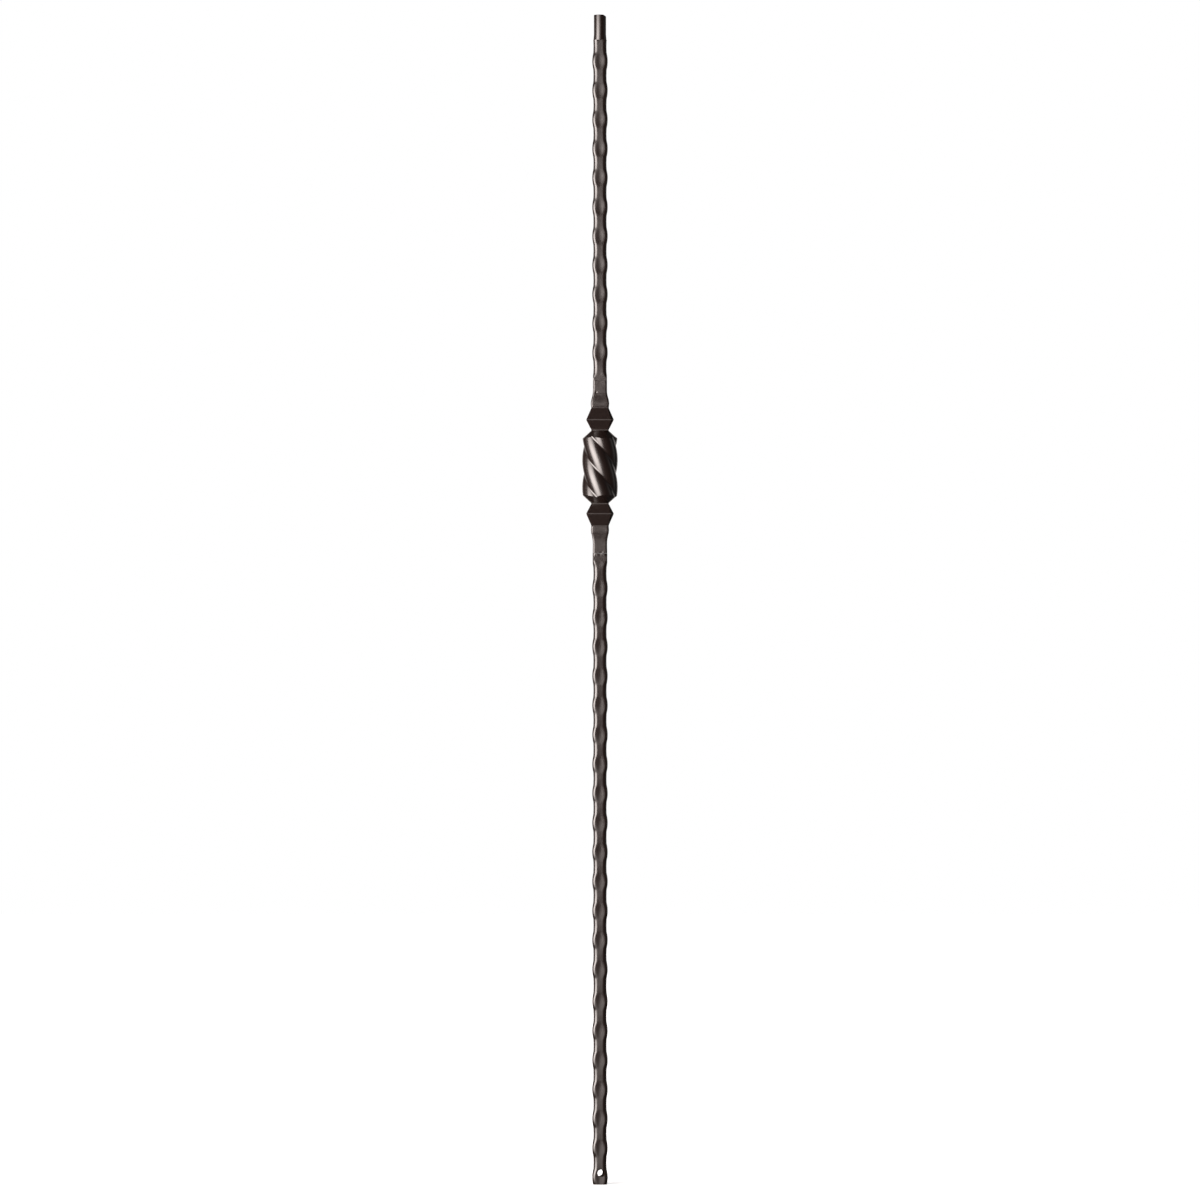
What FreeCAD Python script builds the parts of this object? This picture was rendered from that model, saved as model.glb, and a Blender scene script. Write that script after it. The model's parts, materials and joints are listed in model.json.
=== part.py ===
import FreeCAD, Part
import math
import os

import Sketcher
from FreeCAD import Placement, Rotation, Vector

# Iron stair baluster: a hammered lower bar, a twisted knuckle and a hammered upper bar,
# butt welded end to end. Millimetres, origin at the middle of the foot, +Z up the bar,
# front towards -Y.

doc = FreeCAD.newDocument("iron_stair_baluster")
sizes = doc.addObject("Spreadsheet::Sheet", "Sizes")

driving_sizes = [
    ("baluster_height", 1117.6, "foot to the top of the tenon, 44 inches"),
    ("knuckle_height", 685.6, "foot to the middle of the twisted bulb"),
    ("knuckle_half_length", 82.6, "middle of the bulb to each weld"),
    # the hammered wave of both bars, half widths measured square to a face
    ("crown_half", 7.44, "half width at the top of a bulge"),
    ("flank_half", 7.03, "half width on the round of a bulge"),
    ("hollow_half", 6.37, "half width where a bulge runs into its hollow"),
    ("dent_half", 6.22, "half width in the middle of a hollow"),
    ("flank_offset", 4.8, "crown to flank, along the bar"),
    ("hollow_offset", 8.6, "crown to the start of the hollow, along the bar"),
    ("crown_corner", 2.75, "corner radius at a crown"),
    ("dent_corner", 3.1, "corner radius in a hollow"),
    ("lower_pitch", 28.04, "crown to crown on the lower bar"),
    ("upper_pitch", 27.84, "crown to crown on the upper bar"),
    ("foot_to_crown", 6.7, "sawn foot to the lowest crown"),
    ("foot_run_bulges", 7, "bulges below the one long hollow of the lower bar"),
    ("long_hollow_extra", 2.5, "what that hollow has over the others"),
    ("shoulder_to_crown", 20.5, "tenon shoulder to the highest crown"),
    # round tenon that enters the handrail
    ("tenon_length", 24.0, "shoulder to the end of the tenon"),
    ("tenon_radius", 5.83, "straight part of the tenon"),
    ("tenon_root_radius", 6.25, "tapered root at the shoulder"),
    ("tenon_root_length", 5.2, "length of the tapered root"),
    ("tenon_bevel", 0.7, "broken edge at the end of the tenon"),
    # fixing hole through the foot
    ("hole_radius", 3.5, "drilled hole"),
    ("hole_height", 11.0, "foot to the axis of the hole"),
    ("hole_skew", 9.6, "degrees that the hole runs off square, seen from above"),
    # twisted bulb
    ("lobe_radius", 11.2, "round of one lobe"),
    ("lobe_offset", 5.8, "axis of the bar to the middle of a lobe"),
    ("twist_lead", 105.0, "height of one full turn of a lobe"),
    ("crest_to_middle", 6.7, "height of a front crest above the middle of the bulb"),
    ("bulb_shoulder", 27.0, "middle to where the end cone starts"),
    ("bulb_half_length", 34.7, "middle to the neck"),
    # collars: two square pyramids base to base, corners cut off
    ("neck_half", 8.4, "half width between bulb and collar"),
    ("neck_cut", 1.0, "corner cut at the neck"),
    ("neck_land", 0.9, "straight land at the neck"),
    ("ridge_half", 13.0, "half width at the ridge"),
    ("ridge_cut", 2.6, "corner cut at the ridge"),
    ("ridge_offset", 44.4, "middle of the bulb to the inner edge of the ridge"),
    ("ridge_land", 0.9, "flat along the ridge"),
    ("collar_end_half", 8.35, "half width at the outer end"),
    ("collar_end_offset", 56.0, "middle of the bulb to the outer end"),
    ("collar_end_land", 0.9, "straight land at the outer end"),
    # flare and stub that carry the weld
    ("flare_half", 8.85, "half width at the thick of the flare"),
    ("flare_offset", 60.6, "middle of the bulb to the thick of the flare"),
    ("stub_half", 6.9, "half width of the square stub"),
    ("stub_offset", 71.0, "middle of the bulb to the start of the stub"),
    ("stub_cut", 1.2, "corner cut of collar end, flare and stub"),
]
for row, (alias, value, note) in enumerate(driving_sizes, start=1):
    sizes.set(f"A{row}", alias)
    sizes.set(f"B{row}", str(value))
    sizes.setAlias(f"B{row}", alias)
    sizes.set(f"C{row}", note)
doc.recompute()

STOCK_HALF = "1.5 * Sizes.crown_half"  # half side of a saw cut's square, well past the bar
CLEAR_OF_CREST = 1  # mm that the cone's cutting profile reaches past the crests
BULB_SECTIONS = 15  # level cuts through the bulb that guide its loft, about 17 degrees apart
LOBE_CHORDS = 8  # flats round one lobe


def value_of(expression, owner):
    """The number that an expression on the size sheet comes to."""
    return float(owner.evalExpression(expression))


def origin_feature(body, role):
    return next(f for f in body.Origin.OriginFeatures if f.Role == role)


def new_body(name, height=None):
    body = doc.addObject("PartDesign::Body", name)
    body.Label = name
    if height:
        body.setExpression(".Placement.Base.z", height)
    return body


def level_sketch(body, name, height):
    """A sketch square to the bar, at a height above the body's own origin."""
    sketch = body.newObject("Sketcher::SketchObject", name)
    sketch.AttachmentSupport = (origin_feature(body, "XY_Plane"), [""])
    sketch.MapMode = "FlatFace"
    sketch.setExpression(".AttachmentOffset.Base.z", height)
    return sketch


def upright_sketch(body, name, height=None, turn=None):
    """A sketch through the axis of the bar, as seen from the front.

    It is drawn from a height on the axis, and turned about it by an angle in degrees."""
    sketch = body.newObject("Sketcher::SketchObject", name)
    sketch.AttachmentSupport = (origin_feature(body, "XZ_Plane"), [""])
    sketch.MapMode = "FlatFace"
    if height:
        sketch.setExpression(".AttachmentOffset.Base.y", height)
    if turn:
        sketch.AttachmentOffset = Placement(Vector(0, 0, 0), Rotation(Vector(0, 1, 0), 1))
        sketch.setExpression(".AttachmentOffset.Rotation.Angle", turn)
    return sketch


def dimension(sketch, kind, *where, expression, name):
    """A named dimension of a sketch, driven by an expression on the size sheet."""
    number = value_of(expression, sketch)
    if kind in ("DistanceX", "DistanceY") and number < 0:
        raise ValueError(f"{sketch.Label}: {name} is drawn from the far point, so it is positive")
    sketch.addConstraint(Sketcher.Constraint(kind, *where, number))
    index = sketch.ConstraintCount - 1
    sketch.renameConstraint(index, name)
    sketch.setExpression(f"Constraints.{name}", expression)


def polygon(sketch, points):
    """Straight lines through the points and back to the first, joined at their ends."""
    count = len(points)
    first = sketch.GeometryCount
    corners = [Vector(*point, 0) for point in points]
    sketch.addGeometry([Part.LineSegment(corners[i], corners[(i + 1) % count])
                        for i in range(count)], False)
    sketch.addConstraint([
        Sketcher.Constraint("Coincident", first + i, 2, first + (i + 1) % count, 1)
        for i in range(count)
    ])


def eased_square(sketch, half, corner):
    """A square whose corners are eased by two facets each, laid round a corner radius.

    Every one of the twelve sides turns 30 degrees from the last."""
    flat = f"{half} - {corner} * (sqrt(3) - 1)"
    diagonal = f"{half} - {corner} * (2 - sqrt(3))"
    h, f, d = (value_of(size, sketch) for size in (half, flat, diagonal))
    polygon(sketch, [
        (-f, -h), (f, -h), (d, -d), (h, -f), (h, f), (d, d),
        (f, h), (-f, h), (-d, d), (-h, f), (-h, -f), (-d, -d),
    ])
    for right, left in ((1, 0), (2, 11), (3, 10), (4, 9), (5, 8), (6, 7)):
        sketch.addConstraint(Sketcher.Constraint("Symmetric", right, 1, left, 1, -2))
    for front, back in ((1, 6), (2, 5), (3, 4)):
        sketch.addConstraint(Sketcher.Constraint("Symmetric", front, 1, back, 1, -1))
    corners = ((1, flat, half), (2, diagonal, diagonal), (3, half, flat))
    for number, (line, across, deep) in enumerate(corners, start=1):
        dimension(sketch, "DistanceX", -1, 1, line, 1, expression=across, name=f"across_{number}")
        dimension(sketch, "DistanceY", line, 1, -1, 1, expression=deep, name=f"deep_{number}")


def outline(sketch, stations):
    """A closed outline that is the same left and right of the sketch's upright axis.

    stations are (height, half width) expressions from the bottom up. The bottom is at 0."""
    spots = [(value_of(half, sketch), value_of(height, sketch)) for height, half in stations]
    count = len(spots)
    polygon(sketch, spots + [(-half, height) for half, height in reversed(spots)])
    for number, (height, half) in enumerate(stations):
        mirrored = 2 * count - 1 - number
        sketch.addConstraint(Sketcher.Constraint("Symmetric", number, 1, mirrored, 1, -2))
        pin_spot(sketch, number, half, height)


def beside_outline(sketch, stations, waste):
    """The two closed areas left and right of such an outline, out to a half width of waste."""
    path = [("0", waste)] + stations + [(stations[-1][0], waste)]
    spots = [(value_of(half, sketch), value_of(height, sketch)) for height, half in path]
    count = len(spots)
    polygon(sketch, spots)
    polygon(sketch, [(-half, height) for half, height in spots])
    for number, (height, half) in enumerate(path):
        sketch.addConstraint(Sketcher.Constraint("Symmetric", number, 1, count + number, 1, -2))
        pin_spot(sketch, number, half, height)


def pin_spot(sketch, line, half, height):
    """Places the start of a line: half to the right of the origin and height above it."""
    dimension(sketch, "DistanceX", -1, 1, line, 1, expression=half, name=f"half_{line}")
    if height == "0":
        sketch.addConstraint(Sketcher.Constraint("PointOnObject", line, 1, -1))
    else:
        dimension(sketch, "DistanceY", -1, 1, line, 1, expression=height, name=f"height_{line}")


def new_feature(body, kind, name, profile=None):
    """A solid feature that keeps every face as drawn, which also builds fastest."""
    feature = body.newObject(f"PartDesign::{kind}", name)
    feature.Refine = False
    if profile:
        feature.Profile = profile
    return feature


def loft(body, name, sections):
    """Straight-ruled skin from section to section."""
    feature = new_feature(body, "AdditiveLoft", name, sections[0])
    feature.Sections = sections[1:]
    feature.Ruled = True
    return feature


def saw_cut(body, name, height, upwards):
    """Cuts off everything above or below a height."""
    sketch = level_sketch(body, name + "_outline", height)
    eased_square(sketch, STOCK_HALF, "Sizes.crown_corner")
    cut = new_feature(body, "Pocket", name, sketch)
    cut.Type = "ThroughAll"
    cut.Reversed = upwards
    return cut


def hammered_run(body, name, crown, pitch, count, down=False):
    """One bulge lofted from hollow to hollow, then repeated along the bar.

    crown is the height of the first bulge, and the run goes up from it, or down."""
    stations = [
        ("hollow_below", f"-{pitch} / 2", "dent_half", "dent_corner"),
        ("rise_start", "-Sizes.hollow_offset", "hollow_half", "dent_corner"),
        ("rise", "-Sizes.flank_offset", "flank_half", "crown_corner"),
        ("crown", "0", "crown_half", "crown_corner"),
        ("fall", "Sizes.flank_offset", "flank_half", "crown_corner"),
        ("fall_end", "Sizes.hollow_offset", "hollow_half", "dent_corner"),
        ("hollow_above", f"{pitch} / 2", "dent_half", "dent_corner"),
    ]
    sections = []
    for station, offset, half, corner in stations:
        sketch = level_sketch(body, f"{name}_{station}", f"{crown} + ({offset})")
        eased_square(sketch, f"Sizes.{half}", f"Sizes.{corner}")
        sections.append(sketch)
    bulge = loft(body, f"{name}_bulge", sections)
    run = new_feature(body, "LinearPattern", f"{name}_run")
    run.Originals = [bulge]
    run.Direction = (origin_feature(body, "Z_Axis"), [""])
    run.Reversed = down
    run.Mode = "Spacing"
    run.setExpression("Offset", pitch)
    run.setExpression("Occurrences", count)
    body.Tip = run
    return sections


def make_lower_bar():
    """Hammered bar from the sawn foot to the lower weld, with its fixing hole."""
    body = new_body("lower_bar")
    pitch = "Sizes.lower_pitch"
    foot_run_top = f"(Sizes.foot_to_crown + (Sizes.foot_run_bulges - 0.5) * {pitch})"
    main_run_foot = f"({foot_run_top} + Sizes.long_hollow_extra)"
    weld = "(Sizes.knuckle_height - Sizes.knuckle_half_length)"

    hammered_run(body, "foot", "Sizes.foot_to_crown", pitch, "Sizes.foot_run_bulges")
    hollow = level_sketch(body, "long_hollow_outline", foot_run_top)
    eased_square(hollow, "Sizes.dent_half", "Sizes.dent_corner")
    bridge = new_feature(body, "Pad", "long_hollow", hollow)
    bridge.setExpression("Length", "Sizes.long_hollow_extra")
    hammered_run(body, "main", f"{main_run_foot} + {pitch} / 2", pitch,
                 f"ceil(({weld} - {main_run_foot}) / {pitch})")
    saw_cut(body, "foot_cut", "0", upwards=False)
    saw_cut(body, "weld_cut", weld, upwards=True)

    drilled = upright_sketch(body, "fixing_hole_outline", "Sizes.hole_height", "Sizes.hole_skew")
    drilled.addGeometry(Part.Circle(Vector(0, 0, 0), Vector(0, 0, 1), 1), False)
    drilled.addConstraint(Sketcher.Constraint("Coincident", 0, 3, -1, 1))
    dimension(drilled, "Radius", 0, expression="Sizes.hole_radius", name="drill")
    hole = new_feature(body, "Pocket", "fixing_hole", drilled)
    hole.Type = "ThroughAll"
    hole.SideType = "Symmetric"
    return body


def make_upper_bar():
    """Hammered bar from the upper weld to the tenon that enters the handrail."""
    weld = "(Sizes.knuckle_height + Sizes.knuckle_half_length)"
    body = new_body("upper_bar", weld)
    pitch = "Sizes.upper_pitch"
    shoulder = f"(Sizes.baluster_height - Sizes.tenon_length - {weld})"
    start_crown = f"({shoulder} - Sizes.shoulder_to_crown + {pitch})"

    hammered_run(body, "rail", start_crown, pitch,
                 f"ceil({start_crown} / {pitch} + 0.5)", down=True)
    saw_cut(body, "shoulder_cut", shoulder, upwards=True)
    saw_cut(body, "weld_cut", "0", upwards=False)

    profile = upright_sketch(body, "tenon_profile", shoulder)
    top, root_length, radius, root_radius, bevel = (
        value_of(f"Sizes.tenon_{size}", profile)
        for size in ("length", "root_length", "radius", "root_radius", "bevel")
    )
    polygon(profile, [
        (0, 0), (root_radius, 0), (radius, root_length),
        (radius, top - bevel), (radius - bevel, top), (0, top),
    ])
    profile.addConstraint(Sketcher.Constraint("Coincident", 0, 1, -1, 1))
    for level in (0, 4):
        profile.addConstraint(Sketcher.Constraint("Horizontal", level))
    for upright in (2, 5):
        profile.addConstraint(Sketcher.Constraint("Vertical", upright))
    dimension(profile, "DistanceX", -1, 1, 0, 2, expression="Sizes.tenon_root_radius", name="root")
    dimension(profile, "DistanceY", -1, 1, 1, 2, expression="Sizes.tenon_root_length", name="taper")
    dimension(profile, "DistanceX", -1, 1, 2, 1, expression="Sizes.tenon_radius", name="straight")
    dimension(profile, "DistanceY", -1, 1, 4, 2, expression="Sizes.tenon_length", name="end")
    dimension(profile, "DistanceX", 3, 2, 3, 1, expression="Sizes.tenon_bevel", name="bevel_in")
    dimension(profile, "DistanceY", 3, 1, 3, 2, expression="Sizes.tenon_bevel", name="bevel_up")
    tenon = new_feature(body, "Revolution", "tenon", profile)
    tenon.ReferenceAxis = (profile, ["V_Axis"])
    tenon.Angle = 360
    return body


def bulb_section(body, number):
    """One level cut through the bulb: four lobes of equal chords that meet in sharp grooves.

    The lobes turn clockwise on the way up, seen from above: a left-hand twist."""
    share = number / (BULB_SECTIONS - 1) * 2 - 1
    height = f"({share} * Sizes.bulb_half_length)"
    sketch = level_sketch(body, f"bulb_section_{number + 1}", height)
    sketch.setExpression(".AttachmentOffset.Rotation.Angle",
                         f"(Sizes.crest_to_middle - {height}) * 360 / Sizes.twist_lead")
    offset = value_of("Sizes.lobe_offset", sketch)
    radius = value_of("Sizes.lobe_radius", sketch)
    to_groove = (offset + math.sqrt(2 * radius**2 - offset**2)) / 2
    swing = math.atan2(to_groove, to_groove - offset)
    points = []
    for lobe in range(4):
        facing = lobe * math.pi / 2
        for chord in range(LOBE_CHORDS):
            angle = facing + swing * (2 * chord / LOBE_CHORDS - 1)
            points.append((offset * math.cos(facing) + radius * math.cos(angle),
                           offset * math.sin(facing) + radius * math.sin(angle)))
    polygon(sketch, points)

    rounds = [sketch.GeometryCount + lobe for lobe in range(4)]
    ties = []
    for lobe, axis in enumerate((-1, -2, -1, -2)):
        facing = lobe * math.pi / 2
        centre = Vector(offset * math.cos(facing), offset * math.sin(facing), 0)
        sketch.addGeometry(Part.Circle(centre, Vector(0, 0, 1), radius), True)
        ties.append(Sketcher.Constraint("PointOnObject", rounds[lobe], 3, axis))
        first = lobe * LOBE_CHORDS
        last = first + LOBE_CHORDS - 1
        ties += [Sketcher.Constraint("PointOnObject", chord, 1, rounds[lobe])
                 for chord in range(first, last + 1)]
        ties.append(Sketcher.Constraint("PointOnObject", last, 2, rounds[lobe]))
        ties += [Sketcher.Constraint("Equal", first, chord) for chord in range(first + 1, last + 1)]
    ties += [Sketcher.Constraint("Equal", rounds[0], rounds[lobe]) for lobe in (1, 2, 3)]
    sketch.addConstraint(ties)
    dimension(sketch, "Radius", rounds[0], expression="Sizes.lobe_radius", name="round")
    off = "Sizes.lobe_offset"
    dimension(sketch, "DistanceX", -1, 1, rounds[0], 3, expression=off, name="to_right")
    dimension(sketch, "DistanceY", -1, 1, rounds[1], 3, expression=off, name="to_back")
    dimension(sketch, "DistanceX", rounds[2], 3, -1, 1, expression=off, name="to_left")
    dimension(sketch, "DistanceY", rounds[3], 3, -1, 1, expression=off, name="to_front")
    return sketch


def bulb_end_groove(body):
    """The cone that brings the upper end of the bulb down to the neck."""
    sketch = upright_sketch(body, "bulb_end_profile", "Sizes.bulb_half_length")
    crest = "(Sizes.lobe_offset + Sizes.lobe_radius)"
    past_crest = f"({crest} + {CLEAR_OF_CREST})"
    slope = f"((Sizes.bulb_half_length - Sizes.bulb_shoulder) / ({crest} - Sizes.neck_half))"
    drop = f"(({past_crest} - Sizes.neck_half) * {slope})"
    inner = value_of("Sizes.neck_half", sketch)
    outer = value_of(past_crest, sketch)
    polygon(sketch, [(inner, 0), (outer, -value_of(drop, sketch)), (outer, 0)])
    sketch.addConstraint(Sketcher.Constraint("PointOnObject", 0, 1, -1))
    sketch.addConstraint(Sketcher.Constraint("Vertical", 1))
    sketch.addConstraint(Sketcher.Constraint("Horizontal", 2))
    dimension(sketch, "DistanceX", -1, 1, 0, 1, expression="Sizes.neck_half", name="neck")
    dimension(sketch, "DistanceX", -1, 1, 1, 2, expression=past_crest, name="outside")
    dimension(sketch, "DistanceY", 0, 2, -1, 1, expression=drop, name="drop")
    groove = new_feature(body, "Groove", "bulb_end", sketch)
    groove.ReferenceAxis = (sketch, ["V_Axis"])
    groove.Angle = 360
    return groove


def mirror_down(body, name, originals):
    """Repeats features of the knuckle's upper half in its lower half."""
    mirrored = new_feature(body, "Mirrored", name)
    mirrored.Originals = originals
    mirrored.MirrorPlane = (origin_feature(body, "XY_Plane"), [""])
    body.Tip = mirrored


def make_knuckle():
    """Forged centre piece: stub, flare, square collar, twisted bulb, and the same again below."""
    body = new_body("knuckle", "Sizes.knuckle_height")

    loft(body, "bulb", [bulb_section(body, n) for n in range(BULB_SECTIONS)])
    mirror_down(body, "bulb_other_end", [bulb_end_groove(body)])

    # collar, flare and stub are shaped square as seen from the front, from the side and
    # from both corners, so each is one outline seen from four directions
    base = "Sizes.bulb_half_length"
    stations = [
        ("0", "neck"),
        ("Sizes.neck_land", "neck"),
        (f"Sizes.ridge_offset - {base}", "ridge"),
        (f"Sizes.ridge_offset + Sizes.ridge_land - {base}", "ridge"),
        (f"Sizes.collar_end_offset - {base}", "collar_end"),
        (f"Sizes.collar_end_offset + Sizes.collar_end_land - {base}", "collar_end"),
        (f"Sizes.flare_offset - {base}", "flare"),
        (f"Sizes.stub_offset - {base}", "stub"),
        (f"Sizes.knuckle_half_length - {base}", "stub"),
    ]
    corner_cuts = {"neck": "neck_cut", "ridge": "ridge_cut"}
    square_on = [(height, f"Sizes.{size}_half") for height, size in stations]
    corner_on = [
        (height, f"(2 * Sizes.{size}_half - Sizes.{corner_cuts.get(size, 'stub_cut')}) / sqrt(2)")
        for height, size in stations
    ]
    front = upright_sketch(body, "end_front_outline", base)
    outline(front, square_on)
    block = new_feature(body, "Pad", "end_block", front)
    block.SideType = "Symmetric"
    block.setExpression("Length", "2 * Sizes.ridge_half")
    features = [block]
    for turn, seen in (("90", square_on), ("45", corner_on), ("-45", corner_on)):
        sketch = upright_sketch(body, f"end_outline_{len(features)}", base, turn)
        beside_outline(sketch, seen, "2 * Sizes.ridge_half")
        trim = new_feature(body, "Pocket", f"end_trim_{len(features)}", sketch)
        trim.Type = "ThroughAll"
        trim.SideType = "Symmetric"
        features.append(trim)
    mirror_down(body, "lower_end", features)
    return body


pieces = [make_lower_bar(), make_knuckle(), make_upper_bar()]
doc.recompute()

for item in doc.Objects:
    if "Invalid" in item.State or "Error" in item.State:
        raise RuntimeError(f"{item.Label} failed: {item.State}")

os.makedirs("parts", exist_ok=True)
for piece in pieces:
    if piece.Shape.isNull() or not piece.Shape.isValid():
        raise RuntimeError(f"{piece.Label} has no valid shape")
    piece.Shape.exportStep(f"parts/{piece.Label}.step")
    box = piece.Shape.BoundBox
    print(piece.Label, len(piece.Shape.Solids), "solid,", round(piece.Shape.Volume), "mm3,",
          "z", round(box.ZMin, 2), "to", round(box.ZMax, 2))
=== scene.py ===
import json
import math

import bmesh
import bpy
from mathutils import Matrix, Vector

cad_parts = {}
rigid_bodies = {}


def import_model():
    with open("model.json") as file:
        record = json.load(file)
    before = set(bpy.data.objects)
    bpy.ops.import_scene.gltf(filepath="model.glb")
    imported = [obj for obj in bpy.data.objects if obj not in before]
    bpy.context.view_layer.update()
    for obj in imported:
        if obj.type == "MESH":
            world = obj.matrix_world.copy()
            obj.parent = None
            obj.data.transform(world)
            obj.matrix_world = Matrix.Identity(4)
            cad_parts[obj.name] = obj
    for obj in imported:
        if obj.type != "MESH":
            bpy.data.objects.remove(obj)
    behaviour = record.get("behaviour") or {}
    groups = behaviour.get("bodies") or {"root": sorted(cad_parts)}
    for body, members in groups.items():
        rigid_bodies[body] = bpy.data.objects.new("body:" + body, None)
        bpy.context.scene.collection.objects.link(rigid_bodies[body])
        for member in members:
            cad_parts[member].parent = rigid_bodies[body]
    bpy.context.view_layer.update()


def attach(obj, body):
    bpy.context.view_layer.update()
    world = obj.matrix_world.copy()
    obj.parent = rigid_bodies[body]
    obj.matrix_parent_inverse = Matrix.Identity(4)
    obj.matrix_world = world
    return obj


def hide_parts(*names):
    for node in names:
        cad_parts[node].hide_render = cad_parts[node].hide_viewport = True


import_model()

# Hammered lower bar
# Half-inch square iron, squeezed by shaped dies to a row of round bulges. The corners are
# rolled round, the face of each bulge is slightly dished, and a faint crease marks the
# middle of each hollow. The foot is sawn square and drilled through.
FOOT_TO_CROWN = 0.0067
LOWER_PITCH = 0.02804
FOOT_BULGES = 7
MAIN_BULGES = 15
LONG_HOLLOW_EXTRA = 0.0025
KNUCKLE_MIDDLE = 0.6856
KNUCKLE_HALF = 0.0826
CROWN_HALF = 0.00744
CROWN_ROUND = 0.031
HOLLOW_ROUND = 0.013
ROUND_REACH = 0.0068
CREASE = math.radians(1.5)
CROWN_CORNER = 0.00275
DENT_CORNER = 0.0037
CROWN_DISH = 0.00028
BULGE_RINGS = 26
FLAT_STEPS = 12
CORNER_STEPS = 6
POINTS_MEET = 0.00002
SOFTEST_EDGE = math.radians(20)


def wave_half(off_crown):
    """Half width of the bar at a distance from the nearest crown, along the bar."""
    t = abs(off_crown)
    steepest = math.asin(ROUND_REACH / CROWN_ROUND)
    if t <= ROUND_REACH:
        return CROWN_HALF - CROWN_ROUND * (1 - math.cos(math.asin(t / CROWN_ROUND)))
    hollow_start = CROWN_HALF - CROWN_ROUND * (1 - math.cos(steepest))
    hollow_end = ROUND_REACH + HOLLOW_ROUND * (math.sin(steepest) - math.sin(CREASE))
    slope = math.asin(math.sin(steepest) - (min(t, hollow_end) - ROUND_REACH) / HOLLOW_ROUND)
    half = hollow_start - HOLLOW_ROUND * (math.cos(slope) - math.cos(steepest))
    return half - max(0, t - hollow_end) * math.tan(CREASE)


def squared_ring(half, corner, dish=0, cut=False):
    """Points once round a square bar, with round corners or with corners cut off flat."""
    flat = half - corner
    ring = []
    for quarter in range(4):
        turn = Matrix.Rotation(quarter * math.pi / 2, 2)
        for step in range(FLAT_STEPS):
            x = flat * (2 * step / FLAT_STEPS - 1)
            hollowed = dish * (1 + math.cos(math.pi * x / flat)) / 2
            ring.append(turn @ Vector((x, -half + hollowed)))
        for step in range(CORNER_STEPS):
            if cut:
                along = corner * step / CORNER_STEPS
                ring.append(turn @ Vector((flat + along, -half + along)))
            else:
                angle = math.radians(90 * step / CORNER_STEPS - 90)
                ring.append(turn @ Vector((flat + corner * math.cos(angle),
                                           -flat + corner * math.sin(angle))))
    return ring


def draw_out(name, sections):
    """Draws a ring of edges upwards from section to section, as (height, points once round)."""
    bpy.ops.object.select_all(action="DESELECT")
    bpy.ops.mesh.primitive_circle_add(vertices=len(sections[0][1]), radius=0.01)
    piece = bpy.context.object
    piece.name = name
    bpy.ops.object.mode_set(mode="EDIT")
    bpy.ops.mesh.select_all(action="SELECT")
    for number, (height, ring) in enumerate(sections):
        if number:
            bpy.ops.mesh.extrude_region_move()
        mesh = bmesh.from_edit_mesh(piece.data)
        for vertex, point in zip([v for v in mesh.verts if v.select], ring):
            vertex.co = (point.x, point.y, height)
        bmesh.update_edit_mesh(piece.data)
    bpy.ops.object.mode_set(mode="OBJECT")
    return piece


def only(*pieces):
    """Selects just these pieces, and makes the first the active one."""
    bpy.ops.object.select_all(action="DESELECT")
    for piece in pieces:
        piece.select_set(True)
    bpy.context.view_layer.objects.active = pieces[0]


def lift(height):
    """Moves the selected piece up, and keeps the new place in its mesh."""
    bpy.ops.transform.translate(value=(0, 0, height))
    bpy.ops.object.transform_apply(location=True)


def join(piece, *others):
    """Makes one mesh of the pieces, and merges the points that meet."""
    only(piece, *others)
    bpy.ops.object.join()
    bpy.ops.object.mode_set(mode="EDIT")
    bpy.ops.mesh.select_all(action="SELECT")
    bpy.ops.mesh.remove_doubles(threshold=POINTS_MEET)
    bpy.ops.object.mode_set(mode="OBJECT")


def hammered_bar(name, crowns, pitch):
    """One bulge, copied to each crown height, joined to a bar and still open at its ends."""
    sections = []
    dent_half = wave_half(pitch / 2)
    for number in range(BULGE_RINGS + 1):
        off_crown = pitch * (number / BULGE_RINGS - 0.5)
        half = wave_half(off_crown)
        swell = (half - dent_half) / (CROWN_HALF - dent_half)
        corner = DENT_CORNER + (CROWN_CORNER - DENT_CORNER) * swell
        sections.append((off_crown, squared_ring(half, corner, CROWN_DISH * swell)))
    bulge = draw_out(name, sections)
    for crown in crowns[1:]:
        only(bulge)
        bpy.ops.object.duplicate()
        lift(crown)
    only(bulge)
    lift(crowns[0])
    join(bulge, *[o for o in bpy.data.objects if o.name.startswith(name + ".")])
    return bulge


def saw(piece, height, keep_above):
    """Saws the bar square at a height and closes the cut."""
    only(piece)
    bpy.ops.object.mode_set(mode="EDIT")
    bpy.ops.mesh.select_all(action="SELECT")
    bpy.ops.mesh.bisect(plane_co=(0, 0, height), plane_no=(0, 0, 1), use_fill=True,
                        clear_inner=keep_above, clear_outer=not keep_above)
    bpy.ops.mesh.select_all(action="SELECT")
    bpy.ops.mesh.normals_make_consistent(inside=False)
    bpy.ops.object.mode_set(mode="OBJECT")


def grind(piece, low, high, half):
    """Grinds all four sides flat to a half width between two heights."""
    for vertex in piece.data.vertices:
        if low < vertex.co.z < high:
            vertex.co.x = max(-half, min(half, vertex.co.x))
            vertex.co.y = max(-half, min(half, vertex.co.y))


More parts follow.
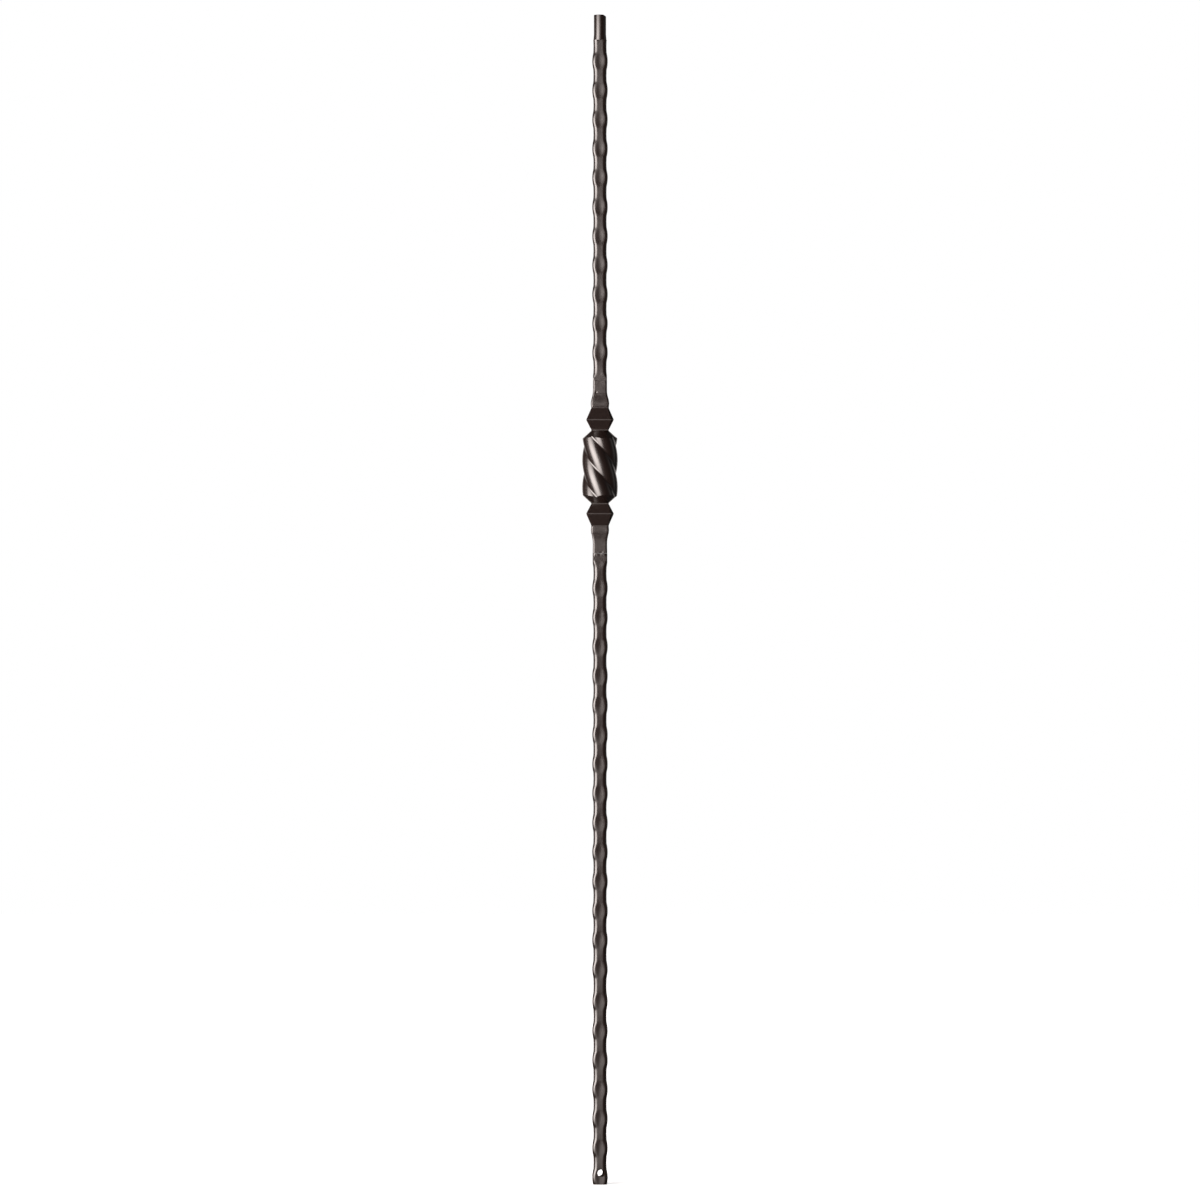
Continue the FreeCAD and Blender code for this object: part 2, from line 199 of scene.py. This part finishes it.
def uneven(piece, depth, spacing, seed_at, group=""):
    """Takes up to a depth off the surface in soft patches, as forging and scale leave it."""
    patches = bpy.data.textures.new(piece.name + "_patches", "CLOUDS")
    patches.noise_scale = spacing
    patches.noise_depth = 2
    wear = piece.modifiers.new("wear", "DISPLACE")
    wear.texture = patches
    wear.texture_coords = "OBJECT"
    place = bpy.data.objects.new(piece.name + "_patches_at", None)
    bpy.context.scene.collection.objects.link(place)
    place.location = seed_at
    wear.texture_coords_object = place
    wear.strength = depth
    wear.mid_level = 1
    wear.vertex_group = group
    only(piece)
    bpy.context.view_layer.update()
    bpy.ops.object.modifier_apply(modifier="wear")
    bpy.data.objects.remove(place)


def ground_patch(piece, low, high):
    """Names the points between two heights, so that only they are made uneven."""
    group = piece.vertex_groups.new(name="ground")
    group.add([v.index for v in piece.data.vertices if low < v.co.z < high], 1, "REPLACE")


def pit(piece, x, height, radius, depth):
    """Presses one scale pit into the front face."""
    for vertex in piece.data.vertices:
        off = math.hypot(vertex.co.x - x, vertex.co.z - height) / radius
        if vertex.co.y < 0 and off < 1:
            vertex.co.y += depth * (1 - off**2) ** 2


def smooth_faces(piece):
    """Smooths the shading of a piece, apart from edges that turn by more than the softest."""
    only(piece)
    bpy.ops.object.shade_smooth_by_angle(angle=SOFTEST_EDGE)


lower_weld = KNUCKLE_MIDDLE - KNUCKLE_HALF
foot_crowns = [FOOT_TO_CROWN + n * LOWER_PITCH for n in range(FOOT_BULGES)]
main_start = foot_crowns[-1] + LOWER_PITCH + LONG_HOLLOW_EXTRA
main_crowns = [main_start + n * LOWER_PITCH for n in range(MAIN_BULGES)]
lower_bar = hammered_bar("lower_bar_hammered", foot_crowns, LOWER_PITCH)

# The open top ring of the foot run is drawn up to make the one long hollow.
RING_REACH = 0.0001
top_ring = foot_crowns[-1] + LOWER_PITCH / 2
bpy.ops.object.mode_set(mode="EDIT")
bpy.ops.mesh.select_all(action="DESELECT")
mesh = bmesh.from_edit_mesh(lower_bar.data)
for vertex in mesh.verts:
    vertex.select_set(vertex.co.z > top_ring - RING_REACH)
mesh.select_flush(True)
bmesh.update_edit_mesh(lower_bar.data)
bpy.ops.mesh.extrude_region_move(
    TRANSFORM_OT_translate={"value": (0, 0, LONG_HOLLOW_EXTRA)})
bpy.ops.object.mode_set(mode="OBJECT")

GROUND_LENGTH = 0.012
PAST_WELD = 0.001
LOWER_GROUND_HALF = 0.0071
join(lower_bar, hammered_bar("main_run", main_crowns, LOWER_PITCH))
saw(lower_bar, 0, keep_above=True)
saw(lower_bar, lower_weld, keep_above=False)
grind(lower_bar, lower_weld - GROUND_LENGTH, lower_weld + PAST_WELD, LOWER_GROUND_HALF)

# The coat over the hammered iron is a dark brown powder, sprayed on dry and baked. It flows
# to a semi-gloss skin that rounds every edge. Where the welds were ground, at these distances
# from the knuckle's middle, the skin is duller and shows the grinding and the pits.
GROUND_FROM, GROUND_FULL = 0.0575, 0.0585
GROUND_FADES, GROUND_ENDS = 0.088, 0.096
GRINDING_MARKS = 220  # to a metre: 4.5 mm each, as the real scratches are too fine to show


def hex_colour(code):
    """A colour written as sRGB hex, as the linear values that Blender wants."""
    channels = [int(code[i:i + 2], 16) / 255 for i in (1, 3, 5)]
    return [c / 12.92 if c <= 0.04045 else ((c + 0.055) / 1.055) ** 2.4 for c in channels] + [1]


def add_node(material, kind, settings=(), links=()):
    """Adds a node, sets its fields and sockets, and links it: (own input, node, output)."""
    node = material.node_tree.nodes.new(kind)
    for name, value in dict(settings).items():
        if isinstance(name, int) or name in node.inputs:
            node.inputs[name].default_value = value
        else:
            setattr(node, name, value)
    for own_input, other, output in links:
        material.node_tree.links.new(other.outputs[output], node.inputs[own_input])
    return node


coat = bpy.data.materials.new("powder_coat_on_hammered_iron")
coat.use_nodes = True
skin = coat.node_tree.nodes["Principled BSDF"]
skin.inputs["Base Color"].default_value = hex_colour("#180F0C")
skin.inputs["IOR"].default_value = 1.5
skin.inputs["Coat Weight"].default_value = 1.0
place = add_node(coat, "ShaderNodeTexCoord")
height = add_node(coat, "ShaderNodeSeparateXYZ", (), [("Vector", place, "Object")])
above = add_node(coat, "ShaderNodeMath", {"operation": "SUBTRACT", 1: KNUCKLE_MIDDLE},
                 [(0, height, "Z")])
off_middle = add_node(coat, "ShaderNodeMath", {"operation": "ABSOLUTE"}, [(0, above, "Value")])
past_collar = add_node(coat, "ShaderNodeMapRange",
                       {"From Min": GROUND_FROM, "From Max": GROUND_FULL},
                       [("Value", off_middle, "Value")])
before_bulges = add_node(coat, "ShaderNodeMapRange",
                         {"From Min": GROUND_FADES, "From Max": GROUND_ENDS,
                          "To Min": 1.0, "To Max": 0.0},
                         [("Value", off_middle, "Value")])
ground = add_node(coat, "ShaderNodeMath", {"operation": "MULTIPLY"},
                  [(0, past_collar, "Result"), (1, before_bulges, "Result")])
mottle = add_node(coat, "ShaderNodeTexNoise",
                  {"Scale": GRINDING_MARKS, "Detail": 3, "Roughness": 0.5},
                  [("Vector", place, "Object")])
patchy = add_node(coat, "ShaderNodeMath", {"operation": "MULTIPLY"},
                  [(0, ground, "Value"), (1, mottle, "Fac")])
for socket, smooth, dull in (("Roughness", 0.30, 0.40), ("Coat Roughness", 0.20, 0.30)):
    sheen = add_node(coat, "ShaderNodeMapRange",
                     {"From Min": 0.0, "From Max": 0.9, "To Min": smooth, "To Max": dull},
                     [("Value", patchy, "Value")])
    coat.node_tree.links.new(sheen.outputs["Result"], skin.inputs[socket])
peel_depth = add_node(coat, "ShaderNodeMapRange", {"To Min": 0.03, "To Max": 0.2},
                      [("Value", ground, "Value")])
relief = add_node(coat, "ShaderNodeBump", {"Distance": 0.0004},
                  [("Height", mottle, "Fac"), ("Strength", peel_depth, "Result")])
coat.node_tree.links.new(relief.outputs["Normal"], skin.inputs["Normal"])

# The wall of the hole is iron as the drill leaves it, with the thin mist of powder that
# reaches in. It is dull and dark, so that the hole reads as a dark ring round the light.
drilled_wall = bpy.data.materials.new("drilled_iron_misted_with_powder")
drilled_wall.use_nodes = True
wall = drilled_wall.node_tree.nodes["Principled BSDF"]
wall.inputs["Base Color"].default_value = hex_colour("#241A15")
wall.inputs["Roughness"].default_value = 0.9
wall.inputs["Specular IOR Level"].default_value = 0.03

# The drill carries the bar's two finishes too, so that the wall it leaves takes the second.
HOLE_RADIUS = 0.0035
HOLE_HEIGHT = 0.011
HOLE_SKEW = math.radians(9.6)
DRILL_LENGTH = 0.03
bpy.ops.object.select_all(action="DESELECT")
bpy.ops.mesh.primitive_cylinder_add(vertices=48, radius=HOLE_RADIUS, depth=DRILL_LENGTH,
                                    location=(0, 0, HOLE_HEIGHT),
                                    rotation=(math.pi / 2, 0, HOLE_SKEW))
drill = bpy.context.object
for piece in (lower_bar, drill):
    piece.data.materials.append(coat)
    piece.data.materials.append(drilled_wall)
for face in drill.data.polygons:
    face.material_index = 1
drilled = lower_bar.modifiers.new("drilled", "BOOLEAN")
drilled.object = drill
drilled.operation = "DIFFERENCE"
only(lower_bar)
bpy.ops.object.modifier_apply(modifier="drilled")
bpy.data.objects.remove(drill)

# Forging leaves the faces uneven in patches of about 9 mm, and grinding in patches of 5 mm.
# Two scale pits stay in the front face by the weld.
FORGED_DEPTH = 0.00012
FORGED_PATCH = 0.009
GRINDING_DEPTH = 0.0001
GRINDING_PATCH = 0.005
GRINDING_SEED = (0.005, 0.02, 0.003)
uneven(lower_bar, FORGED_DEPTH, FORGED_PATCH, (0.013, 0.02, 0.001))
ground_patch(lower_bar, lower_weld - GROUND_LENGTH, lower_weld + PAST_WELD)
uneven(lower_bar, GRINDING_DEPTH, GRINDING_PATCH, GRINDING_SEED, "ground")
pit(lower_bar, x=-0.004, height=lower_weld - 0.0015, radius=0.0013, depth=0.0002)
pit(lower_bar, x=-0.0003, height=lower_weld - 0.0008, radius=0.0015, depth=0.0002)
smooth_faces(lower_bar)
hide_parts("lower_bar")
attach(lower_bar, "root")

# Hammered upper bar
# The same stock as below the knuckle. Its top end is turned down to a round tenon with a
# tapered root, which stands in a hole in the handrail. One edge of the tenon is ground off.
HEIGHT = 1.1176
UPPER_PITCH = 0.02784
UPPER_BULGES = 13
SHOULDER_TO_CROWN = 0.0205
UPPER_GROUND_LENGTH = 0.013
UPPER_GROUND_HALF = 0.00672
TENON_LENGTH = 0.024
TENON_RADIUS = 0.00583
TENON_ROOT_RADIUS = 0.00625
TENON_ROOT_LENGTH = 0.0052
TENON_SINK = 0.001
GROUND_EDGE_FROM = 0.0031
GROUND_EDGE_SLOPE = (0.5, 0, 0.87)
TENON_RIM = 0.0004
shoulder = HEIGHT - TENON_LENGTH
upper_weld = KNUCKLE_MIDDLE + KNUCKLE_HALF
first_crown = shoulder - SHOULDER_TO_CROWN + UPPER_PITCH
upper_crowns = [first_crown - n * UPPER_PITCH for n in range(UPPER_BULGES)]
upper_bar = hammered_bar("upper_bar_hammered", upper_crowns, UPPER_PITCH)
saw(upper_bar, shoulder, keep_above=False)
saw(upper_bar, upper_weld, keep_above=True)
grind(upper_bar, upper_weld - PAST_WELD, upper_weld + UPPER_GROUND_LENGTH, UPPER_GROUND_HALF)
uneven(upper_bar, FORGED_DEPTH, FORGED_PATCH, (0.031, 0.007, 0.002))
ground_patch(upper_bar, upper_weld - PAST_WELD, upper_weld + GROUND_LENGTH)
uneven(upper_bar, GRINDING_DEPTH, GRINDING_PATCH, GRINDING_SEED, "ground")

bpy.ops.object.select_all(action="DESELECT")
bpy.ops.mesh.primitive_circle_add(vertices=64, radius=TENON_ROOT_RADIUS, fill_type="NGON",
                                  location=(0, 0, shoulder - TENON_SINK))
tenon = bpy.context.object
tenon.name = "tenon"
bpy.ops.object.mode_set(mode="EDIT")
bpy.ops.mesh.select_all(action="SELECT")
bpy.ops.mesh.extrude_region_move(TRANSFORM_OT_translate={"value": (0, 0, TENON_SINK)})
bpy.ops.mesh.extrude_region_move(TRANSFORM_OT_translate={"value": (0, 0, TENON_ROOT_LENGTH)})
taper = TENON_RADIUS / TENON_ROOT_RADIUS
bpy.ops.transform.resize(value=(taper, taper, 1))
bpy.ops.mesh.extrude_region_move(
    TRANSFORM_OT_translate={"value": (0, 0, TENON_LENGTH - TENON_ROOT_LENGTH)})
bpy.ops.mesh.select_all(action="SELECT")
bpy.ops.mesh.bisect(plane_co=(GROUND_EDGE_FROM, 0, HEIGHT), plane_no=GROUND_EDGE_SLOPE,
                    use_fill=True, clear_outer=True)
bpy.ops.mesh.select_all(action="SELECT")
bpy.ops.mesh.normals_make_consistent(inside=False)
bpy.ops.object.mode_set(mode="OBJECT")
bpy.ops.object.transform_apply(location=True)
rim = tenon.modifiers.new("rim", "BEVEL")
rim.width = TENON_RIM
rim.segments = 3
rim.limit_method = "ANGLE"
rim.angle_limit = math.radians(35)
only(tenon)
bpy.ops.object.modifier_apply(modifier="rim")
join(upper_bar, tenon)
smooth_faces(upper_bar)
upper_bar.data.materials.append(coat)
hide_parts("upper_bar")
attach(upper_bar, "root")

# Twisted knuckle
# A forging between the two bars. Its bulb is four round lobes twisted left-handed, turned
# down to a cone at each end. Square collars sit above and below, like two pyramids base to
# base, then a flare that is ground to meet the bar at the weld.
LOBE_ROUND = 0.0112
LOBE_OFFSET = 0.0058
TWIST_LEAD = 0.105
CREST_TO_MIDDLE = 0.0067
BULB_SHOULDER = 0.027
BULB_HALF = 0.0347
NECK_HALF = 0.0084
GROOVE_FILLET = 0.0012
FINE_LEVEL = 0.0003
COARSE_LEVEL = 0.001
FINE_ZONE = 0.0015
LEVELS_MEET = 0.00001
LOBES_MEET = 0.00005


def close_ends(piece):
    """Closes the open rings of a piece, and turns its faces outwards."""
    only(piece)
    bpy.ops.object.mode_set(mode="EDIT")
    bpy.ops.mesh.select_all(action="DESELECT")
    mesh = bmesh.from_edit_mesh(piece.data)
    for edge in mesh.edges:
        edge.select_set(edge.is_boundary)
    bpy.ops.mesh.edge_face_add()
    bpy.ops.mesh.select_all(action="SELECT")
    bpy.ops.mesh.normals_make_consistent(inside=False)
    bpy.ops.object.mode_set(mode="OBJECT")


# One lobe is spun from a point on the groove, and copied to the other three quarters.
to_groove = (LOBE_OFFSET + math.sqrt(2 * LOBE_ROUND**2 - LOBE_OFFSET**2)) / 2
swing = 2 * math.atan2(to_groove, to_groove - LOBE_OFFSET)
bpy.ops.object.select_all(action="DESELECT")
bpy.ops.mesh.primitive_plane_add(size=0.001)
knuckle = bpy.context.object
knuckle.name = "knuckle_twisted"
bpy.ops.object.mode_set(mode="EDIT")
bpy.ops.mesh.select_all(action="SELECT")
bpy.ops.mesh.merge(type="CENTER")
bpy.ops.mesh.select_all(action="SELECT")
bpy.ops.transform.translate(value=(to_groove, -to_groove, 0))
bpy.ops.mesh.spin(steps=18, angle=-swing, center=(LOBE_OFFSET, 0, 0), axis=(0, 0, 1))
bpy.ops.mesh.select_all(action="SELECT")
for quarter in range(3):
    bpy.ops.mesh.duplicate()
    bpy.ops.transform.rotate(value=math.pi / 2, orient_axis="Z", center_override=(0, 0, 0))
bpy.ops.mesh.select_all(action="SELECT")
bpy.ops.mesh.remove_doubles(threshold=LOBES_MEET)
bpy.ops.mesh.select_all(action="DESELECT")
mesh = bmesh.from_edit_mesh(knuckle.data)
groove = min(math.hypot(v.co.x, v.co.y) for v in mesh.verts)
for vertex in mesh.verts:
    vertex.select_set(math.hypot(vertex.co.x, vertex.co.y) < groove + LOBES_MEET)
mesh.select_flush(True)
bmesh.update_edit_mesh(knuckle.data)
bpy.ops.mesh.bevel(offset=GROOVE_FILLET, segments=4, affect="VERTICES")

# The outline is drawn up level by level and turned with the twist, in finer levels where the
# cones begin, which are then turned down.
levels = [-BULB_HALF]
while levels[-1] < BULB_HALF - LEVELS_MEET:
    at_cone = abs(levels[-1] + COARSE_LEVEL / 2) > BULB_SHOULDER - FINE_ZONE
    levels.append(min(BULB_HALF, levels[-1] + (FINE_LEVEL if at_cone else COARSE_LEVEL)))
bpy.ops.mesh.select_all(action="SELECT")
for number, level in enumerate(levels):
    if number:
        bpy.ops.mesh.extrude_region_move()
    turned_at = levels[number - 1] if number else CREST_TO_MIDDLE
    turn = Matrix.Rotation((turned_at - level) * 2 * math.pi / TWIST_LEAD, 3, "Z")
    mesh = bmesh.from_edit_mesh(knuckle.data)
    for vertex in [v for v in mesh.verts if v.select]:
        vertex.co = turn @ vertex.co
        vertex.co.z = level
    bmesh.update_edit_mesh(knuckle.data)
bpy.ops.object.mode_set(mode="OBJECT")
close_ends(knuckle)
cone = (LOBE_OFFSET + LOBE_ROUND - NECK_HALF) / (BULB_HALF - BULB_SHOULDER)
for vertex in knuckle.data.vertices:
    turned_down = NECK_HALF + (BULB_HALF - abs(vertex.co.z)) * cone
    radius = math.hypot(vertex.co.x, vertex.co.y)
    if radius > turned_down:
        vertex.co.x *= turned_down / radius
        vertex.co.y *= turned_down / radius

# A row of the collar is (distance from the bulb's middle, half width, corner cut off). The
# two flares were forged by hand and differ, and a row of theirs is (distance, half width).
COLLAR = ((0.0342, 0.0078, 0.001), (0.0347, NECK_HALF, 0.001), (0.0356, NECK_HALF, 0.001),
          (0.0444, 0.013, 0.0026), (0.0453, 0.013, 0.0026),
          (0.056, 0.00835, 0.0012), (0.0569, 0.00835, 0.0012))
UPPER_FLARE = ((0.0573, 0.00849), (0.0592, 0.00879), (0.0606, 0.0089), (0.0621, 0.00878),
               (0.064, 0.0084), (0.0659, 0.00789), (0.0678, 0.00741), (0.0707, 0.0069),
               (0.0735, 0.00682), (KNUCKLE_HALF, 0.00672))
LOWER_FLARE = ((0.0573, 0.0084), (0.0592, 0.00865), (0.0606, 0.00878), (0.063, 0.00851),
               (0.0649, 0.00802), (0.0668, 0.00764), (0.0687, 0.00726), (0.0707, 0.00704),
               (0.0735, 0.0069), (KNUCKLE_HALF, 0.007))
FLARE_CORNER = 0.0016
FLARE_STEP = 0.0006
FLARE_GROUND = (0.058, 0.084)
FLARE_WEAR = 0.0002
FLARE_PATCH = 0.006
ends = []
for side, flare in ((1, UPPER_FLARE), (-1, LOWER_FLARE)):
    sections = [(off, squared_ring(half, cut, cut=True)) for off, half, cut in COLLAR]
    for (near, near_half), (far, far_half) in zip(flare, flare[1:]):
        steps = math.ceil((far - near) / FLARE_STEP)
        for step in range(steps):
            half = near_half + (far_half - near_half) * step / steps
            sections.append((near + (far - near) * step / steps,
                             squared_ring(half, FLARE_CORNER)))
    sections.append((KNUCKLE_HALF, squared_ring(flare[-1][1], FLARE_CORNER)))
    end = draw_out("end_" + str(side), [(side * off, ring) for off, ring in sections])
    close_ends(end)
    ground_patch(end, *sorted(side * off for off in FLARE_GROUND))
    uneven(end, FLARE_WEAR, FLARE_PATCH, (0.003, 0.02, 0.007 * side), "ground")
    ends.append(end)
upper_end, lower_end = ends
pit(upper_end, x=-0.0038, height=0.0711, radius=0.0013, depth=0.0004)
pit(lower_end, x=0.0018, height=-0.0814, radius=0.0013, depth=0.0003)
only(knuckle, *ends)
bpy.ops.object.join()
lift(KNUCKLE_MIDDLE)
smooth_faces(knuckle)
knuckle.data.materials.append(coat)
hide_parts("knuckle")
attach(knuckle, "root")

# Paper floor and white surround
# White paper lies under the foot. Its glow is turned down next to the foot, a painted shade
# round it, so that the real shadow there shows.
# The room round about is nearly dark, and the camera sees it as white.
ROOM_LIGHT = 0.03
bpy.ops.object.select_all(action="DESELECT")
bpy.ops.mesh.primitive_plane_add(size=12)
floor = bpy.context.object
floor.name = "paper_floor"
paper = bpy.data.materials.new("white_paper")
paper.use_nodes = True
sheet = paper.node_tree.nodes["Principled BSDF"]
sheet.inputs["Base Color"].default_value = hex_colour("#E6E6E6")
sheet.inputs["Roughness"].default_value = 0.9
sheet.inputs["Specular IOR Level"].default_value = 0
spot = add_node(paper, "ShaderNodeTexCoord")
away = add_node(paper, "ShaderNodeVectorMath", {"operation": "LENGTH"}, [(0, spot, "Object")])
# The glow falls from full to 0.7 towards the foot: painted shade round the foot, under its real
# shadow.
clear = add_node(paper, "ShaderNodeMapRange",
                 {"From Min": 0.02, "From Max": 0.3, "To Min": 0.7, "To Max": 1.0},
                 [("Value", away, "Value")])
ray = add_node(paper, "ShaderNodeLightPath")
seen = add_node(paper, "ShaderNodeMath", {"operation": "MAXIMUM"},
                [(0, ray, "Is Camera Ray"), (1, ray, "Is Glossy Ray")])
seen_any = add_node(paper, "ShaderNodeMath", {"operation": "MAXIMUM"},
                    [(0, seen, "Value"), (1, ray, "Is Transmission Ray")])
glow = add_node(paper, "ShaderNodeMath", {"operation": "MULTIPLY"},
                [(0, seen_any, "Value"), (1, clear, "Result")])
sheet.inputs["Emission Color"].default_value = (1, 1, 1, 1)
paper.node_tree.links.new(glow.outputs["Value"], sheet.inputs["Emission Strength"])
floor.data.materials.append(paper)
floor.visible_glossy = False
floor.visible_diffuse = False
floor.visible_shadow = False

world = bpy.data.worlds.new("studio")
bpy.context.scene.world = world
world.use_nodes = True
world.node_tree.nodes.clear()
dim = add_node(world, "ShaderNodeBackground", {"Color": (1, 1, 1, 1), "Strength": ROOM_LIGHT})
white = add_node(world, "ShaderNodeBackground", {"Color": (1, 1, 1, 1), "Strength": 1})
ray = add_node(world, "ShaderNodeLightPath")
shown = add_node(world, "ShaderNodeMath", {"operation": "MAXIMUM"},
                 [(0, ray, "Is Camera Ray"), (1, ray, "Is Transmission Ray")])
blend = add_node(world, "ShaderNodeMixShader", (), [(0, shown, "Value"),
                                                    (1, dim, "Background"),
                                                    (2, white, "Background")])
add_node(world, "ShaderNodeOutputWorld", (), [("Surface", blend, "Shader")])

# Softbox and cards
# One tall softbox in front on the left makes the bright streaks. A dim card in front of each
# piece lights its flat faces, and dim cards at the sides and behind show the other sides.
WARM_WHITE = (1, 0.905, 0.865, 1)
CARD_OFFSET = -0.25
CARD_WIDTH = 1.6
WASH_HEIGHT = 0.7
WASH_TALL = 3.0


def softbox(name, place, width, tall, radiance, lean=0, edges=(1.5, 1.0)):
    """A softbox that faces the baluster at its own height, and that the camera and the
    other lights see through. It is bright in the middle and fades to its edges."""
    bpy.ops.object.select_all(action="DESELECT")
    bpy.ops.mesh.primitive_plane_add(size=2, location=place)
    box = bpy.context.object
    box.name = name
    baluster = Vector((0, 0, place[2]))
    facing = (baluster - Vector(place)).to_track_quat("Z", "Y").to_matrix()
    box.rotation_euler = (facing @ Matrix.Rotation(math.radians(lean), 3, "Z")).to_euler()
    box.scale = (width / 2, tall / 2, 1)
    cloth = bpy.data.materials.new(name + "_cloth")
    cloth.use_nodes = True
    cloth.node_tree.nodes.clear()
    across = add_node(cloth, "ShaderNodeTexCoord")
    sides = add_node(cloth, "ShaderNodeSeparateXYZ", (), [("Vector", across, "Object")])
    fades = []
    for side, edge in zip("XY", edges):
        square = add_node(cloth, "ShaderNodeMath", {"operation": "POWER", 1: 2.0},
                          [(0, sides, side)])
        rest = add_node(cloth, "ShaderNodeMath", {"operation": "SUBTRACT", 0: 1.0},
                        [(1, square, "Value")])
        fades.append(add_node(cloth, "ShaderNodeMath", {"operation": "POWER", 1: edge},
                              [(0, rest, "Value")]))
    both = add_node(cloth, "ShaderNodeMath", {"operation": "MULTIPLY"},
                    [(0, fades[0], "Value"), (1, fades[1], "Value")])
    power = add_node(cloth, "ShaderNodeMath", {"operation": "MULTIPLY", 1: radiance},
                     [(0, both, "Value")])
    light = add_node(cloth, "ShaderNodeEmission", {"Color": WARM_WHITE},
                     [("Strength", power, "Value")])
    clear = add_node(cloth, "ShaderNodeBsdfTransparent")
    glow = add_node(cloth, "ShaderNodeAddShader", (),
                    [(0, light, "Emission"), (1, clear, "BSDF")])
    add_node(cloth, "ShaderNodeOutputMaterial", (), [("Surface", glow, "Shader")])
    box.data.materials.append(cloth)
    box.visible_camera = False
    return box


def front_card(piece, distance, height, tall, radiance):
    """A dim see-through card between the camera and the baluster, that lights one piece."""
    card = softbox(piece.name + "_card", (CARD_OFFSET, -distance, height), CARD_WIDTH, tall,
                   radiance)
    lit = bpy.data.collections.new(card.name)
    lit.objects.link(piece)
    card.light_linking.receiver_collection = lit


softbox("key_softbox", place=(-1.02, -1.1, 0.68), width=1.8, tall=2.7, radiance=12, lean=5,
        edges=(0.7, 1.2))
front_card(knuckle, distance=3.0, height=0.72, tall=1.7, radiance=0.9)
front_card(lower_bar, distance=3.1, height=-1.05, tall=3.2, radiance=1.65)
front_card(upper_bar, distance=3.2, height=2.1, tall=3.8, radiance=1.5)
for name, x, y, width, radiance in (("back_wash", 0, 3, 2.4, 1.6),
                                    ("right_back_wash", 1.8, 2.6, 1.6, 0.4),
                                    ("left_back_wash", -1.8, 2.6, 1.6, 0.4),
                                    ("right_wash", 3, 0, 1.6, 0.32),
                                    ("left_wash", -3, 0, 1.6, 0.4)):
    softbox(name, (x, y, WASH_HEIGHT), width, WASH_TALL, radiance, edges=(0.8, 1.0))

# Camera
# It stands far off, level with the middle of the baluster, as in the photograph: the hole at
# the foot is seen only a few degrees from above.
CAMERA_AWAY = 7
CAMERA_HEIGHT = 0.5584
PICTURE_HEIGHT = 1.147
SENSOR = 36
camera_data = bpy.data.cameras.new("camera")
camera_data.sensor_width = SENSOR
camera_data.lens = SENSOR * CAMERA_AWAY / PICTURE_HEIGHT
camera = bpy.data.objects.new("camera", camera_data)
bpy.context.scene.collection.objects.link(camera)
camera.location = (0, -CAMERA_AWAY, CAMERA_HEIGHT)
camera.rotation_euler = (math.pi / 2, 0, 0)
bpy.context.scene.camera = camera
bpy.context.scene.view_settings.view_transform = "Standard"
